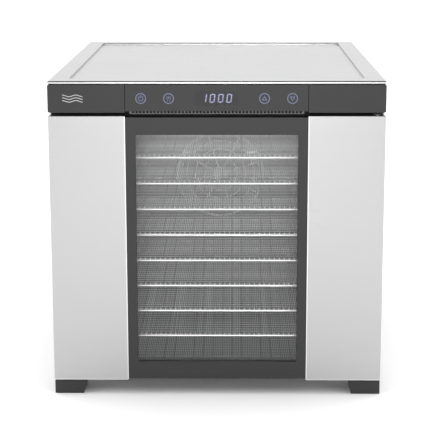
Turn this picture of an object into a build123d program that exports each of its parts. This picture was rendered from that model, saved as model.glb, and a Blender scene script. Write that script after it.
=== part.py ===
from build123d import *
import math
import os

# Food dehydrator: a steel cabinet with a glass door, ten wire trays and a rear fan.
# Millimetres. +X is right as seen from the front, the door faces -Y, +Z is up,
# and the origin is on the surface it stands on, under the middle of the cabinet.

# Overall size
width = 415.0
depth = 500.0
height = 403.0
half_width = width / 2
front_y = -depth / 2
rear_y = depth / 2

# Sheet metal and moulding walls
sheet = 0.6
liner_sheet = 0.5
strap_sheet = 1.5
moulding_wall = 2.5
corner_radius = 2.4
slip_gap = 0.1
overcut = 1.0

# Levels, from the floor up
foot_height = 17.4
body_bottom = 19.4
door_bottom = 19.6
chamber_bottom = 27.0
chamber_top = 352.0
door_top = 359.9
header_bottom = 363.8
panel_bottom = 365.6
header_top = 398.8
cover_bottom = 399.4

# Depths, from the front back
door_thickness = 22.0
door_back = front_y + door_thickness
frame_front = door_back + 3.5
baffle_front = 176.0
rear_panel_outer = rear_y - 2.0

# Top cover
cover_sheet = 0.9
cover_border = 24.0
recess_depth = 2.3
cover_corner = 3.0
cover_edge = 1.8
recess_corner = 6.0
lip_return = 1.0

# Door
centre_half_width = 112.4
window_half_width = 100.5
window_bottom = 44.0
window_top = 336.4
glass_thickness = 3.2
glass_front = front_y + 3.6
glass_margin = 4.0
back_cover = 2.0
centre_bottom = 21.5
centre_top = 357.9
steel_skin = 0.8
hinge_x = 198.0
hinge_y = front_y + 9.0
pin_radius = 3.0
running_clearance = 0.05
bush_radius = 5.0
bush_length = 13.0
pin_reach = 11.0
hinge_bracket_x = (191.0, 204.0)
seal_thickness = 3.0
catch_z = 215.0

# Chamber and trays
chamber_half_width = 170.5
tray_count = 10
tray_pitch = 33.43
first_tray_z = 34.2
tray_half_width = 165.0
tray_front = -215.0
tray_rear = 158.0
rim = 3.0
ledge_inner = 157.0
ledge_sheet = 0.8
tray_gap = 0.3

# Fan and heater
fan_z = 205.0
fan_opening_radius = 64.0
guard_radius = 66.3
blade_radius = 60.0
blade_count = 6
hub_radius = 17.0
impeller_front = 190.0
impeller_rear = 209.0
motor_radius = 30.0
motor_front = 212.0
motor_rear = 238.0
heater_radius = 48.0
heater_y = 183.0
strap_screw_x = 50.0
strap_screw_rise = 80.0
probe_x = 82.0
probe_z = 300.0
probe_radius = 3.0

# Controls
key_radius = 6.6
key_ring = 1.1
key_z = 381.6
arrow_stroke = 0.8
inner_key_x = 58.7
outer_key_x = 92.9
digit_pitch = 10.3
digit_width = 6.4
digit_height = 11.0
digit_slant = 0.14
segment = 1.3
display_x = (-27.0, 27.0)
display_z = (373.0, 390.2)

# Mains inlet
inlet_x = (-168.0, -140.0)
inlet_z = (52.0, 74.0)

# Fasteners
screw_radius = 1.9
screw_head_radius = 3.6
screw_head = 1.5
screw_length = 6.0
shank_gap = 0.05
screw_hole_gap = 0.3
side_screw_inset = 8.0

# Feet
foot_screw_inset = 27.5
foot_screw_y = 215.0
foot_counterbore = 8.0

os.makedirs("parts", exist_ok=True)


def save(name, shape):
    export_step(shape, f"parts/{name}.step")


def block(x, y, z):
    """A box from three (low, high) pairs."""
    centre = Pos((x[0] + x[1]) / 2, (y[0] + y[1]) / 2, (z[0] + z[1]) / 2)
    return centre * Box(x[1] - x[0], y[1] - y[0], z[1] - z[0])


def rod_y(radius, x, z, y):
    """A round bar along Y between the two values of y."""
    return Pos(x, (y[0] + y[1]) / 2, z) * Rot(90, 0, 0) * Cylinder(radius, y[1] - y[0])


def rod_z(radius, x, y, z):
    """A round bar along Z between the two values of z."""
    return Pos(x, y, (z[0] + z[1]) / 2) * Cylinder(radius, z[1] - z[0])


def rod_x(radius, y, z, x):
    """A round bar along X between the two values of x."""
    return Pos((x[0] + x[1]) / 2, y, z) * Rot(0, 90, 0) * Cylinder(radius, x[1] - x[0])


def mirrored(shape):
    """The same shape on the other side of the cabinet."""
    return mirror(shape, about=Plane.YZ)


def group(solids):
    """Separate solids kept apart in one node."""
    return Compound([solid for shape in solids for solid in shape.solids()])


# ---------------------------------------------------------------- cabinet shell


def top_cover():
    """Pressed cover: a border, a sunk middle and a turned-down lip all round."""
    body = block((-half_width, half_width), (front_y, rear_y), (cover_bottom, height))
    uprights = body.edges().filter_by(Axis.Z)
    body = fillet(uprights, cover_corner)
    rounded = body.faces().sort_by(Axis.Z)[-1].edges()
    body = fillet(rounded, cover_edge)
    sunk_x = half_width - cover_border
    sunk_y = rear_y - cover_border
    sunk = block((-sunk_x, sunk_x), (-sunk_y, sunk_y), (height - recess_depth, height + overcut))
    sunk = fillet(sunk.edges().filter_by(Axis.Z), recess_corner)
    inside_x = half_width - cover_sheet - lip_return
    inside_y = rear_y - cover_sheet - lip_return
    inside_z = (cover_bottom - overcut, height - cover_sheet)
    inside = block((-inside_x, inside_x), (-inside_y, inside_y), inside_z)
    floor_x = sunk_x + cover_sheet
    floor_y = sunk_y + cover_sheet
    floor_z = (height - recess_depth - cover_sheet, height)
    floor = block((-floor_x, floor_x), (-floor_y, floor_y), floor_z)
    return body - sunk - (inside - floor)


def side_panel():
    """Right-hand steel side with a flange turned in at the back."""
    outer = (half_width - sheet, half_width)
    rear = rear_panel_outer - sheet
    levels = (body_bottom, cover_bottom)
    flange_width = 14.0
    skin = block(outer, (frame_front, rear), levels)
    flange_x = (half_width - flange_width, half_width - sheet)
    flange = block(flange_x, (rear - sheet, rear), levels)
    panel = skin + flange
    through = (rear - sheet - overcut, rear + overcut)
    for z in rear_screw_levels():
        panel -= rod_y(screw_radius, half_width - side_screw_inset, z, through)
    return panel


def rear_screw_levels():
    """Heights of the rear panel's screws."""
    lowest = 45.0
    pitch = 85.0
    count = 5
    return [lowest + index * pitch for index in range(count)]


def strap_screw_places():
    """Screws that hold the motor strap to the rear panel, as (x, z)."""
    levels = (fan_z - strap_screw_rise, fan_z + strap_screw_rise)
    return [(side * strap_screw_x, z) for side in (-1, 1) for z in levels]


def rear_panel():
    """Rear sheet with air intake slots and the mains inlet's cut-out."""
    inner = rear_panel_outer - sheet
    panel = block((-half_width, half_width), (inner, rear_panel_outer), (body_bottom, cover_bottom))
    through = (inner - overcut, rear_panel_outer + overcut)
    panel -= intake_slots(through)
    panel -= loft_vents(through)
    panel -= block(inlet_x, through, inlet_z)
    for side in (-1, 1):
        for z in rear_screw_levels():
            x = side * (half_width - side_screw_inset)
            panel -= rod_y(screw_radius + screw_hole_gap, x, z, through)
    for x, z in strap_screw_places():
        panel -= rod_y(screw_radius, x, z, through)
    return panel


def intake_slots(through):
    """Pairs of slots that fill a circle behind the fan, either side of a spine."""
    intake_radius = 62.0
    half_spine = 5.0
    slot_pitch = 10.0
    half_slot = 2.0
    rows_each_way = 5
    slots = []
    for row in range(-rows_each_way, rows_each_way + 1):
        rise = row * slot_pitch
        reach = math.sqrt(intake_radius ** 2 - rise ** 2)
        for side in (-1, 1):
            span = sorted((side * half_spine, side * reach))
            slots.append(block(span, through, (fan_z + rise - half_slot, fan_z + rise + half_slot)))
    return slots


def loft_vents(through):
    """Two rows of short slots that cool the boards above the chamber."""
    columns_each_way = 4
    vent_pitch = 20.0
    half_vent = 7.0
    vent_height = 3.5
    vents = []
    for column in range(-columns_each_way, columns_each_way + 1):
        span = (column * vent_pitch - half_vent, column * vent_pitch + half_vent)
        for bottom in (372.0, 382.0):
            vents.append(block(span, through, (bottom, bottom + vent_height)))
    return vents


def base_pan():
    """Bottom sheet with low flanges turned up inside the side panels."""
    x = half_width - sheet - slip_gap
    y = (frame_front + sheet, rear_panel_outer - 2 * sheet)
    flange_height = 6.0
    rear_relief = 1.0
    pan = block((-x, x), y, (body_bottom, body_bottom + sheet))
    for side in (-1, 1):
        span = sorted((side * (x - sheet), side * x))
        lengthways = (y[0], y[1] - rear_relief)
        pan += block(span, lengthways, (body_bottom, body_bottom + flange_height))
    for screw_x, screw_y in foot_centres():
        through = (body_bottom - overcut, body_bottom + sheet + overcut)
        pan -= rod_z(screw_radius, screw_x, screw_y, through)
    return pan


def front_frame():
    """Steel ring that the door closes against, around the mouth of the chamber."""
    x = half_width - sheet - slip_gap
    y = (frame_front, frame_front + sheet)
    header_gap = 0.5
    ring = block((-x, x), y, (body_bottom, header_bottom - header_gap))
    mouth_z = (chamber_bottom, chamber_top)
    through = (y[0] - overcut, y[1] + overcut)
    ring -= block((-chamber_half_width, chamber_half_width), through, mouth_z)
    return ring


def vent_strip():
    """Slotted strip above the door that lets the moist air out."""
    half_strip = 108.0
    face_y = front_y + 13.0
    face_sheet = 0.8
    slot_count = 48
    slot_pitch = 4.4
    half_slot = 1.5
    slot_rise = (0.9, 3.3)
    z = (door_top + 0.7, panel_bottom)
    strip = block((-half_strip, half_strip), (face_y, face_y + face_sheet), z)
    strip += block((-half_strip, half_strip), (face_y, frame_front - 2.0), (z[1] - sheet, z[1]))
    through = (face_y - overcut, face_y + face_sheet + overcut)
    levels = (z[0] + slot_rise[0], z[0] + slot_rise[1])
    slots = []
    for column in range(slot_count):
        x = (column - (slot_count - 1) / 2) * slot_pitch
        slots.append(block((x - half_slot, x + half_slot), through, levels))
    return strip - slots


# ---------------------------------------------------------------- drying chamber


def liner_wall():
    """Right-hand inner wall of the chamber."""
    x = (chamber_half_width, chamber_half_width + liner_sheet)
    return block(x, (frame_front + sheet, baffle_front), (chamber_bottom, chamber_top))


def liner_floor():
    x = chamber_half_width + liner_sheet
    z = (chamber_bottom - liner_sheet, chamber_bottom)
    return block((-x, x), (frame_front + sheet, baffle_front), z)


def liner_ceiling():
    x = chamber_half_width + liner_sheet
    z = (chamber_top, chamber_top + liner_sheet)
    return block((-x, x), (frame_front + sheet, baffle_front), z)


def tray_level(index):
    """Height of a tray's rim wire, counted from the lowest tray."""
    return first_tray_z + index * tray_pitch


def tray_ledges():
    """Right-hand ledges: one folded angle under each tray, spot-welded to the wall."""
    wall = chamber_half_width
    upright_height = 8.0
    y = (tray_front + 3.0, tray_rear + 8.0)
    ledges = []
    for index in range(tray_count):
        top = tray_level(index) - rim / 2 - tray_gap
        shelf = block((ledge_inner, wall), y, (top - ledge_sheet, top))
        upright = block((wall - ledge_sheet, wall), y, (top - ledge_sheet, top + upright_height))
        ledges.append(shelf + upright)
    return group(ledges)


def tray(index):
    """Wire tray: a rim with a grid of rods across it, joined at every crossing."""
    z = tray_level(index)
    length = tray_rear - tray_front
    middle_y = (tray_rear + tray_front) / 2
    columns = 12
    rows = 12
    bar = 1.6
    outline = Rectangle(2 * tray_half_width, length)
    inner_x = 2 * tray_half_width - 2 * rim
    inner_y = length - 2 * rim
    rim_ring = extrude(outline - Rectangle(inner_x, inner_y), rim)
    cell_x = (inner_x - (columns - 1) * bar) / columns
    cell_y = (inner_y - (rows - 1) * bar) / rows
    cells = GridLocations(cell_x + bar, cell_y + bar, columns, rows).locations
    web = Rectangle(inner_x + rim, inner_y + rim) - [cell * Rectangle(cell_x, cell_y) for cell in cells]
    grid = extrude(web, bar)
    body = Pos(0, 0, -rim / 2) * rim_ring + Pos(0, 0, -bar / 2) * grid
    return Pos(0, middle_y, z) * body


# ---------------------------------------------------------------- fan, motor and heater


def fan_baffle():
    """Back wall of the chamber, with the fan's opening and two rows of return slots."""
    x = chamber_half_width + liner_sheet
    y = (baffle_front, baffle_front + liner_sheet)
    z = (chamber_bottom - liner_sheet, chamber_top + liner_sheet)
    slot_x = (110.0, 150.0)
    slot_count = 14
    slot_pitch = 20.0
    lowest_slot = 60.0
    half_slot = 2.5
    probe_gap = 0.2
    wall = block((-x, x), y, z)
    through = (y[0] - overcut, y[1] + overcut)
    wall -= rod_y(fan_opening_radius, 0, fan_z, through)
    slots = []
    for side in (-1, 1):
        span = sorted((side * slot_x[0], side * slot_x[1]))
        for row in range(slot_count):
            level = lowest_slot + row * slot_pitch
            slots.append(block(span, through, (level - half_slot, level + half_slot)))
    wall -= slots
    return wall - rod_y(probe_radius + probe_gap, probe_x, probe_z, through)


def fan_guard():
    """Welded wire guard over the fan's opening."""
    ring_wire = 1.7
    thin_wire = 0.9
    spoke_wire = 1.3
    spokes = 8
    first_spoke = 17.0
    disc_radius = 11.0
    half_disc = 1.0
    y = baffle_front - ring_wire
    facing = Pos(0, y, fan_z) * Rot(90, 0, 0)
    guard = facing * Torus(guard_radius, ring_wire)
    guard += rod_y(disc_radius, 0, fan_z, (y - half_disc, y + half_disc))
    for radius in (26.0, 39.0, 52.0):
        guard += facing * Torus(radius, thin_wire)
    for index in range(spokes):
        spoke = rod_x(spoke_wire, 0, 0, (disc_radius - 3.0, guard_radius))
        guard += Pos(0, y, fan_z) * Rot(0, first_spoke + index * 360 / spokes, 0) * spoke
    return guard


def heater_coil():
    """Sheathed ring element with two straight leads going up to its terminals."""
    sheath_radius = 2.4
    lead_radius = 2.0
    lead_x = 9.0
    lead_top = fan_z + 92.0
    ring = Pos(0, heater_y, fan_z) * Rot(90, 0, 0) * Torus(heater_radius, sheath_radius)
    lead_bottom = fan_z + heater_radius - lead_radius
    for side in (-1, 1):
        ring += rod_z(lead_radius, side * lead_x, heater_y, (lead_bottom, lead_top))
    return ring


def heater_clips():
    """Three straps that stand off the baffle and carry the ring element."""
    clip_count = 3
    first_clip = 30.0
    half_clip = 4.0
    clip_end = 76.0
    strap_y = (heater_y + 2.5, heater_y + 2.5 + strap_sheet)
    leg_y = (baffle_front + liner_sheet, strap_y[1])
    arm = block((heater_radius - 6.0, clip_end), strap_y, (-half_clip, half_clip))
    leg = block((clip_end - 2.0, clip_end), leg_y, (-half_clip, half_clip))
    clips = []
    for index in range(clip_count):
        turn = Rot(0, first_clip + index * 360 / clip_count, 0)
        clips.append(Pos(0, 0, fan_z) * turn * (arm + leg))
    return group(clips)


def fan_impeller():
    """Moulded fan: a cup-shaped hub with six pitched blades."""
    middle = (impeller_front + impeller_rear) / 2
    cup_wall = 3.0
    cup_depth = 10.0
    boss_radius = 7.0
    blade_pitch = 28.0
    blade_sheet = 1.8
    blade_chord = 34.0
    root_overlap = 3.0
    through = (impeller_front - overcut, impeller_rear + overcut)
    hub = rod_y(hub_radius, 0, 0, (impeller_front, impeller_rear))
    hub -= rod_y(hub_radius - cup_wall, 0, 0, (impeller_rear - cup_depth, impeller_rear + overcut))
    boss = rod_y(boss_radius, 0, 0, (impeller_front + cup_wall, impeller_rear))
    plate = Box(blade_radius - hub_radius + root_overlap, blade_sheet, blade_chord)
    blade = Pos((hub_radius + blade_radius) / 2, 0, 0) * Rot(blade_pitch, 0, 0) * plate
    limit = rod_y(blade_radius, 0, 0, (impeller_front + 0.5, impeller_rear - 0.5))
    core = rod_y(hub_radius - 1.0, 0, 0, through)
    fan = hub + boss
    for index in range(blade_count):
        turned = Pos(0, middle, 0) * Rot(0, index * 360 / blade_count, 0) * blade
        fan += (turned & limit) - core
    fan -= rod_y(pin_radius, 0, 0, through)
    return Pos(0, 0, fan_z) * fan


def motor_shaft():
    return rod_y(pin_radius, 0, fan_z, (impeller_front - 8.0, motor_rear - 6.0))


def hub_nut():
    """Nut that clamps the impeller onto its shaft."""
    nut = extrude(RegularPolygon(6.0, 6), 5.0)
    nut -= Cylinder(pin_radius, 20)
    return Pos(0, impeller_front, fan_z) * Rot(90, 0, 0) * nut


def fan_motor():
    """Shaded-pole motor: a can with a bearing bore and a front boss."""
    can = rod_y(motor_radius, 0, fan_z, (motor_front + 4.0, motor_rear))
    can = fillet(can.edges().filter_by(GeomType.CIRCLE), 3.0)
    can += rod_y(10.0, 0, fan_z, (motor_front, motor_front + 6.0))
    bore = rod_y(pin_radius + running_clearance, 0, fan_z, (motor_front - 1, motor_rear - 5.0))
    return can - bore


def motor_bracket():
    """Folded strap that carries the motor off the rear panel."""
    half_plate = 26.0
    half_foot = 58.0
    leg_rise = 68.0
    foot_rise = 88.0
    plate_y = (motor_rear, motor_rear + strap_sheet)
    rear = rear_panel_outer - sheet
    bracket = block((-half_plate, half_plate), plate_y, (fan_z - leg_rise, fan_z + leg_rise))
    for side in (-1, 1):
        fold = fan_z + side * (leg_rise - strap_sheet)
        leg_z = sorted((fold, fan_z + side * leg_rise))
        bracket += block((-half_plate, half_plate), (plate_y[0], rear), leg_z)
        foot_z = sorted((fold, fan_z + side * foot_rise))
        bracket += block((-half_foot, half_foot), (rear - strap_sheet, rear), foot_z)
    for x, z in strap_screw_places():
        bracket -= rod_y(screw_radius, x, z, (rear - strap_sheet - overcut, rear + overcut))
    return bracket


def thermal_cutout():
    """Resettable safety thermostat on the back of the baffle."""
    y = baffle_front + liner_sheet
    middle_x = -probe_x
    cap_depth = 9.0
    half_flange = (16.0, 6.0)
    half_blade = (2.4, 0.4)
    body = rod_y(9.0, middle_x, probe_z, (y, y + cap_depth))
    flange_x = (middle_x - half_flange[0], middle_x + half_flange[0])
    body += block(flange_x, (y, y + 1.2), (probe_z - half_flange[1], probe_z + half_flange[1]))
    for x in (middle_x - 5.0, middle_x + 5.0):
        blade_x = (x - half_blade[0], x + half_blade[0])
        blade_z = (probe_z - half_blade[1], probe_z + half_blade[1])
        body += block(blade_x, (y + cap_depth - 1.0, y + cap_depth + 8.0), blade_z)
    return body


def temperature_probe():
    """Sensor that reads the air at the back of the chamber."""
    flange_radius = 6.0
    flange_sheet = 1.6
    probe = rod_y(probe_radius, probe_x, probe_z, (baffle_front - 11.0, baffle_front + 16.0))
    flange = rod_y(flange_radius, probe_x, probe_z, (baffle_front - flange_sheet, baffle_front))
    return probe + flange


# ---------------------------------------------------------------- header and controls


def header_end():
    """Right-hand moulded end of the header, open at the back."""
    x = (centre_half_width + 0.25, half_width)
    y = (front_y, frame_front)
    body = block(x, y, (header_bottom, header_top))
    corners = body.edges().filter_by(Axis.Y).group_by(Axis.X)[-1]
    body = fillet(corners, corner_radius)
    front_edges = body.faces().sort_by(Axis.Y)[0].edges()
    body = fillet(front_edges, 0.6)
    inside_x = (x[0] + moulding_wall, x[1] - moulding_wall)
    inside_z = (header_bottom + moulding_wall, header_top - moulding_wall)
    body -= block(inside_x, (front_y + moulding_wall, frame_front + 1), inside_z)
    notch_x = (hinge_bracket_x[0] - 2.0, hinge_bracket_x[1] + 1.0)
    notch_y = (frame_front - 3.0, frame_front + overcut)
    notch = block(notch_x, notch_y, (header_bottom - overcut, 370.0))
    return body - notch


def key_places():
    """Middle of each touch key, from left to right."""
    return [-outer_key_x, -inner_key_x, inner_key_x, outer_key_x]


def power_symbol():
    """Broken ring with a bar through its gap."""
    ring = Circle(3.2) - Circle(2.4)
    ring -= Pos(0, 3.0) * Rectangle(2.2, 3.0)
    return ring + Pos(0, 2.6) * Rectangle(0.8, 3.4)


def mode_symbol():
    """Three small bars over two dots, for changing between time and temperature."""
    bars = [Pos(place * 1.9, 1.0) * Rectangle(0.8, 3.0) for place in (-1, 0, 1)]
    dots = [Pos(place * 1.4, -2.2) * Circle(0.6) for place in (-1, 1)]
    return bars[0] + bars[1:] + dots


def arrow_symbol(turn):
    """Outlined triangle, pointing up or turned to point down."""
    triangle = Polygon((-3.4, -2.4), (3.4, -2.4), (0, 3.2), align=None)
    return Rot(0, 0, turn) * (triangle - offset(triangle, -arrow_stroke))


def touch_icons():
    """Light guides of the four touch keys: a ring and a symbol for each."""
    symbols = [power_symbol(), mode_symbol(), arrow_symbol(0), arrow_symbol(180)]
    icons = []
    for x, symbol in zip(key_places(), symbols):
        ring = Circle(key_radius) - Circle(key_radius - key_ring)
        for outline in (ring, symbol):
            guide = extrude(outline, 1.0)
            icons.append(Pos(x, front_y + 1.0, key_z) * Rot(90, 0, 0) * guide)
    return group(icons)


def control_panel(icons):
    """Moulded control fascia with pockets for the keys and the display."""
    x = centre_half_width
    y = (front_y, frame_front - 2.0)
    body = block((-x, x), y, (panel_bottom, header_top))
    front_edges = body.faces().sort_by(Axis.Y)[0].edges()
    body = fillet(front_edges, 0.5)
    inside_x = x - moulding_wall
    inside_z = (panel_bottom + moulding_wall, header_top - moulding_wall)
    body -= block((-inside_x, inside_x), (front_y + moulding_wall, y[1] + 1), inside_z)
    body -= block(display_x, (front_y - 1, front_y + 1.6), display_z)
    opening_x = (display_x[0] + 2.0, display_x[1] - 2.0)
    opening_z = (display_z[0] + 1.5, display_z[1] - 1.5)
    body -= block(opening_x, (front_y, front_y + 5), opening_z)
    return body - icons.solids()


def display_window():
    return block(display_x, (front_y, front_y + 1.6), display_z)


def display_digits():
    """Lit segments of a four-digit display, reading one thousand."""
    on = {"1": "bc", "0": "abcdef"}
    half_w = (digit_width - segment) / 2
    half_h = (digit_height - segment) / 2
    quarter = half_h / 2
    long_bar = half_h - segment - 0.3
    places = {
        "a": (0, half_h, False), "d": (0, -half_h, False),
        "b": (half_w, quarter, True), "c": (half_w, -quarter, True),
        "f": (-half_w, quarter, True), "e": (-half_w, -quarter, True),
    }
    segments = []
    for place, digit in enumerate("1000"):
        x = (place - 1.5) * digit_pitch
        for letter in on[digit]:
            along, up, tall = places[letter]
            size = (segment, long_bar + segment) if tall else (2 * half_w - segment - 0.3, segment)
            segments.append(slanted_bar(x + along, up, size))
    return group(segments)


def slanted_bar(x, up, size):
    """One lit segment, leaning to the right as the whole digit does."""
    half_x = size[0] / 2
    half_z = size[1] / 2
    corners = []
    for side, level in ((-1, -1), (1, -1), (1, 1), (-1, 1)):
        height_above = up + level * half_z
        corners.append((x + side * half_x + digit_slant * height_above, height_above))
    bar = extrude(Polygon(*corners, align=None), 0.6)
    return Pos(0, front_y + 2.3, key_z) * Rot(90, 0, 0) * bar


def control_board():
    """Circuit board behind the fascia, with the display block, its chip and the key pads."""
    board_sheet = 1.6
    half_key_pad = 5.0
    board_y = front_y + 9.0
    board = block((-104.0, 104.0), (board_y, board_y + board_sheet), (370.5, 394.5))
    board += block((-22.0, 22.0), (front_y + 2.4, board_y + 0.5), (374.6, 388.6))
    board += block((30.0, 44.0), (board_y + 1.0, board_y + 4.0), (376.0, 390.0))
    pad_z = (key_z - half_key_pad, key_z + half_key_pad)
    for x in key_places():
        board += block((x - half_key_pad, x + half_key_pad), (front_y + 2.6, board_y + 0.5), pad_z)
    return board


def power_board():
    """Mains circuit board on four stand-offs, with relays, choke and terminals."""
    floor = chamber_top + liner_sheet
    level = floor + 5.0
    board = block((20.0, 150.0), (-40.0, 50.0), (level, level + 1.6))
    for x in (26.0, 144.0):
        for y in (-34.0, 44.0):
            board += rod_z(3.0, x, y, (floor, level + 1.0))
    parts_on_board = [
        ((32.0, 51.0), (-30.0, -14.0), 15.0),
        ((58.0, 77.0), (-30.0, -14.0), 15.0),
        ((92.0, 116.0), (10.0, 32.0), 22.0),
        ((30.0, 80.0), (36.0, 47.0), 12.0),
        ((124.0, 146.0), (-20.0, 2.0), 18.0),
    ]
    for x, y, tall in parts_on_board:
        board += block(x, y, (level + 1.0, level + 1.6 + tall))
    for x in (60.0, 74.0):
        board += rod_z(5.0, x, 12.0, (level + 1.0, level + 22.0))
    return board


# ---------------------------------------------------------------- mains inlet and wiring


def mains_inlet():
    """Three-pin appliance inlet in a flanged housing."""
    inner = rear_panel_outer - 24.0
    housing = block(inlet_x, (inner, rear_panel_outer), inlet_z)
    margin = 6.0
    flange_x = (inlet_x[0] - margin, inlet_x[1] + margin)
    flange_z = (inlet_z[0] - 2.0, inlet_z[1] + 2.0)
    flange = block(flange_x, (rear_panel_outer, rear_y), flange_z)
    flange = fillet(flange.edges().filter_by(Axis.Y), 3.0)
    mouth_x = (inlet_x[0] + 2.5, inlet_x[1] - 2.5)
    mouth_z = (inlet_z[0] + 2.5, inlet_z[1] - 2.5)
    mouth = block(mouth_x, (rear_y - 17.0, rear_y + 1), mouth_z)
    body = housing + flange - mouth
    middle_x = (inlet_x[0] + inlet_x[1]) / 2
    middle_z = (inlet_z[0] + inlet_z[1]) / 2
    for x, z in ((-7.0, -2.0), (0.0, 2.0), (7.0, -2.0)):
        pin_x = (middle_x + x - 1.0, middle_x + x + 1.0)
        pin_z = (middle_z + z - 2.0, middle_z + z + 2.0)
        body += block(pin_x, (inner - 6.0, rear_y - 4.0), pin_z)
    return body


def internal_wiring():
    """Sleeved mains lead up the back of the cabinet, and the fan motor's lead."""
    middle_x = (inlet_x[0] + inlet_x[1]) / 2
    middle_z = (inlet_z[0] + inlet_z[1]) / 2
    loft = 372.0
    terminals_y = 48.0
    mains = [
        (middle_x, rear_panel_outer - 31.0, middle_z),
        (middle_x, 190.0, middle_z),
        (middle_x, 190.0, loft),
        (40.0, 120.0, loft),
        (40.0, terminals_y, loft - 8.0),
    ]
    motor = [
        (0.0, 226.0, fan_z + motor_radius),
        (0.0, 226.0, 330.0),
        (30.0, 190.0, loft),
        (72.0, 120.0, loft),
        (72.0, terminals_y, loft - 8.0),
    ]
    return group([wire(mains, 2.6), wire(motor, 1.8)])


def wire(points, radius):
    """A round lead along straight runs with rounded corners."""
    path = FilletPolyline(*points, radius=12.0)
    section = Plane(origin=path @ 0, z_dir=path % 0) * Circle(radius)
    return sweep(section, path=path)


# ---------------------------------------------------------------- feet and fasteners


def foot_centres():
    """Screw position of each foot."""
    x = half_width - foot_screw_inset
    return [(-x, -foot_screw_y), (x, -foot_screw_y), (-x, foot_screw_y), (x, foot_screw_y)]


def foot():
    """Front right foot: a tapered block with a pad that meets the base pan."""
    top_width = 40.4
    bottom_width = 36.6
    foot_length = 40.0
    outline = Polygon(
        (half_width - top_width, foot_height), (half_width, foot_height),
        (half_width, 0), (half_width - bottom_width, 0), align=None)
    body = Pos(0, front_y + 4.0, 0) * extrude(Plane.XZ * outline, foot_length, dir=(0, 1, 0))
    body = fillet(body.faces().sort_by(Axis.Z)[0].edges(), 1.2)
    pad_x = (half_width - 36.0, half_width - 18.0)
    body += block(pad_x, (-223.0, -208.0), (foot_height - overcut, body_bottom))
    x, y = foot_centres()[1]
    body -= rod_z(5.0, x, y, (-overcut, foot_counterbore))
    body -= rod_z(screw_radius + screw_hole_gap, x, y, (0, body_bottom + overcut))
    return body


def feet():
    front = foot()
    rear = mirror(front, about=Plane.XZ)
    return group([front, mirrored(front), rear, mirrored(rear)])


def foot_screws():
    """Screws up through the feet, with their heads sunk in the counterbores."""
    head_z = (foot_counterbore - 2.1, foot_counterbore)
    shank_z = (foot_counterbore - 1.0, body_bottom + 4.0)
    screws = []
    for x, y in foot_centres():
        screws.append(rod_z(screw_head_radius, x, y, head_z) + rod_z(screw_radius - shank_gap, x, y, shank_z))
    return group(screws)


def cabinet_screws():
    """Screws in the rear panel: five down each side and four for the motor strap."""
    side_x = half_width - side_screw_inset
    places = [(side * side_x, z) for side in (-1, 1) for z in rear_screw_levels()]
    head_y = (rear_panel_outer, rear_panel_outer + screw_head)
    shank_y = (rear_panel_outer - screw_length, rear_panel_outer + 0.5)
    screws = []
    for x, z in places + strap_screw_places():
        screws.append(rod_y(screw_head_radius, x, z, head_y) + rod_y(screw_radius - shank_gap, x, z, shank_y))
    return group(screws)


# ---------------------------------------------------------------- hinges and catch


def upper_hinge_bracket():
    """Steel angle in the gap above the door, fixed to the front frame."""
    angle_sheet = 1.8
    plate_z = (door_top + 1.0, door_top + 1.0 + angle_sheet)
    leg_top = 376.0
    tip_radius = 3.0
    plate = block(hinge_bracket_x, (front_y + 3.0, frame_front), plate_z)
    plate = fillet(plate.edges().filter_by(Axis.Z).group_by(Axis.Y)[0], tip_radius)
    leg = block(hinge_bracket_x, (frame_front - angle_sheet, frame_front), (plate_z[0], leg_top))
    hole = rod_z(pin_radius, hinge_x, hinge_y, (plate_z[0] - overcut, plate_z[1] + overcut))
    return plate + leg - hole


def lower_hinge_bracket():
    """Steel plate under the door, held between the base pan and the foot."""
    plate_z = (foot_height + 0.2, foot_height + 1.8)
    plate_y = (front_y + 3.0, -196.0)
    tip_radius = 3.0
    plate = block(hinge_bracket_x, plate_y, plate_z)
    plate = fillet(plate.edges().filter_by(Axis.Z).group_by(Axis.Y)[0], tip_radius)
    return plate - rod_z(pin_radius, hinge_x, hinge_y, (plate_z[0] - overcut, plate_z[1] + overcut))


def hinge_pins():
    """Two pins, one pressed into each bracket, that end inside the door's bushes."""
    upper = rod_z(pin_radius, hinge_x, hinge_y, (door_top - pin_reach, door_top + 2.8))
    lower = rod_z(pin_radius, hinge_x, hinge_y, (foot_height + 0.2, door_bottom + pin_reach))
    return group([upper, lower])


def catch_magnet():
    """Magnetic catch in its holder on the front frame."""
    half_tall = 17.0
    levels = (catch_z - half_tall, catch_z + half_tall)
    return block((-198.0, -184.0), (door_back + 0.4, frame_front), levels)


def strike_plate():
    """Steel plate let into the back of the door, opposite the magnet."""
    half_tall = 21.0
    plate_sheet = 1.2
    levels = (catch_z - half_tall, catch_z + half_tall)
    return block((-200.0, -182.0), (door_back - plate_sheet, door_back), levels)


# ---------------------------------------------------------------- door


def bush_holes(radius):
    """Round holes at both ends of the door, on the hinge axis."""
    lower = rod_z(radius, hinge_x, hinge_y, (door_bottom - overcut, door_bottom + bush_length))
    upper = rod_z(radius, hinge_x, hinge_y, (door_top - bush_length, door_top + overcut))
    return [lower, upper]


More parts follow.
